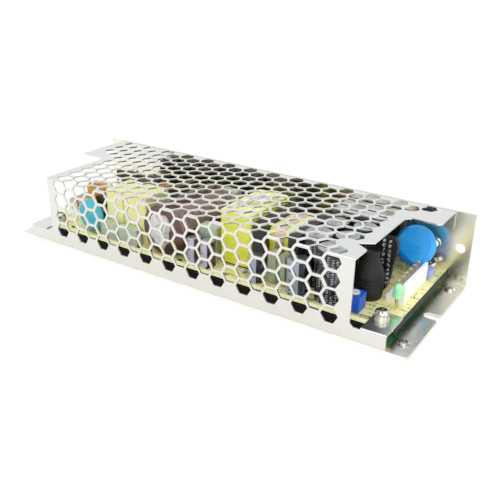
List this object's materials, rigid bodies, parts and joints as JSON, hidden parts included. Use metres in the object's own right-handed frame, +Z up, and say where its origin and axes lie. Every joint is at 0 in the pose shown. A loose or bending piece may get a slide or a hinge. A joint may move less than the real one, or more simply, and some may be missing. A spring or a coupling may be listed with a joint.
{
  "type": "enclosed power supply module",
  "caption": "Long low power supply: a circuit board on a folded plate with a tall back wall, under a cover of hexagonal holes, with pin headers at its open ends.",
  "frame": {"origin": "centre of the base plate's underside, midway along its length and width", "axes": "+X along the length to the output end, +Y to the tall back wall, +Z up from the mounting face"},
  "size_m": [0.192, 0.065, 0.032],
  "materials": {
    "plated_steel": "bright plated sheet, satin mirror",
    "screw_steel": "nickel plated",
    "washer_steel": "nickel plated",
    "board_laminate": "pale yellow laminate, green underside",
    "black_film": "black insulating strip",
    "header_nylon": "white moulded nylon",
    "pin_metal": "tinned brass",
    "green_lens": "diffused green resin",
    "trimmer_blue": "moulded blue",
    "rotor_white": "moulded white",
    "sleeve_black": "black heat-shrink sleeve",
    "disc_blue": "blue epoxy coat",
    "disc_light_blue": "light blue epoxy coat",
    "core_ferrite": "dark ferrite",
    "copper_wire": "enamelled copper",
    "dipped_epoxy": "dipped epoxy",
    "box_yellow": "yellow moulded box",
    "box_green_grey": "grey-green moulded box",
    "sleeve_brown": "dark brown sleeve",
    "silicone_white": "white silicone",
    "sleeve_violet": "dark sleeve with a pale stripe",
    "tape_yellow": "yellow polyester tape",
    "copper_foil": "bare copper foil",
    "wire_sleeve": "sleeved wire",
    "anodised_black": "black anodised aluminium",
    "plain_aluminium": "plain rolled aluminium",
    "package_black": "moulded package",
    "fuse_ceramic": "ceramic tube",
    "thermistor_green": "dark green coat",
    "resistor_body": "coated resistor"
  },
  "bodies": {
    "supply": {"chassis": "plated_steel", "cover": "plated_steel", "circuit_board": "board_laminate", "edge_strips": "black_film", "insulating_sheet": "black_film", "board_standoffs": "washer_steel", "board_screws": "screw_steel", "flat_washers": "washer_steel", "spring_washers": "washer_steel", "flange_screws": "screw_steel", "cover_screws": "screw_steel", "output_header": "header_nylon", "output_pins": "pin_metal", "input_header": "header_nylon", "input_pins": "pin_metal", "indicator_lens": "green_lens", "indicator_leads": "pin_metal", "trimmer_body": "trimmer_blue", "output_choke": "sleeve_black", "sleeved_disc": "sleeve_black", "ceramic_disc": "disc_blue", "disc_leads": "pin_metal", "varistor": "disc_light_blue", "line_choke_core": "core_ferrite", "line_choke_winding": "copper_wire", "dipped_capacitors": "dipped_epoxy", "box_capacitors": "box_yellow", "small_box_capacitors": "box_green_grey", "bulk_capacitor": "sleeve_brown", "silicone_bead": "silicone_white", "small_capacitors": "sleeve_violet", "output_capacitors": "sleeve_black", "main_transformer": "tape_yellow", "main_transformer_core": "core_ferrite", "second_transformer_winding": "tape_yellow", "second_transformer_core": "core_ferrite", "copper_band": "copper_foil", "transformer_wires": "wire_sleeve", "boost_choke_core": "core_ferrite", "boost_choke_winding": "copper_wire", "primary_heat_sink": "anodised_black", "secondary_heat_sink": "plain_aluminium", "power_transistors": "package_black", "output_rectifiers": "package_black", "bridge_rectifier": "package_black", "fuse_tube": "fuse_ceramic", "fuse_caps": "pin_metal", "thermistor": "thermistor_green", "resistors": "resistor_body", "diodes": "package_black", "chips": "package_black"},
    "adjuster": {"trimmer_rotor": "rotor_white"}
  },
  "joints": [
    {"name": "trimmer_turn", "type": "hinge", "parent": "supply", "child": "adjuster", "pos_m": [0.0697, -0.0193, 0.0122], "axis": [0, 0, 1], "range_deg": [-120, 120]}
  ]
}
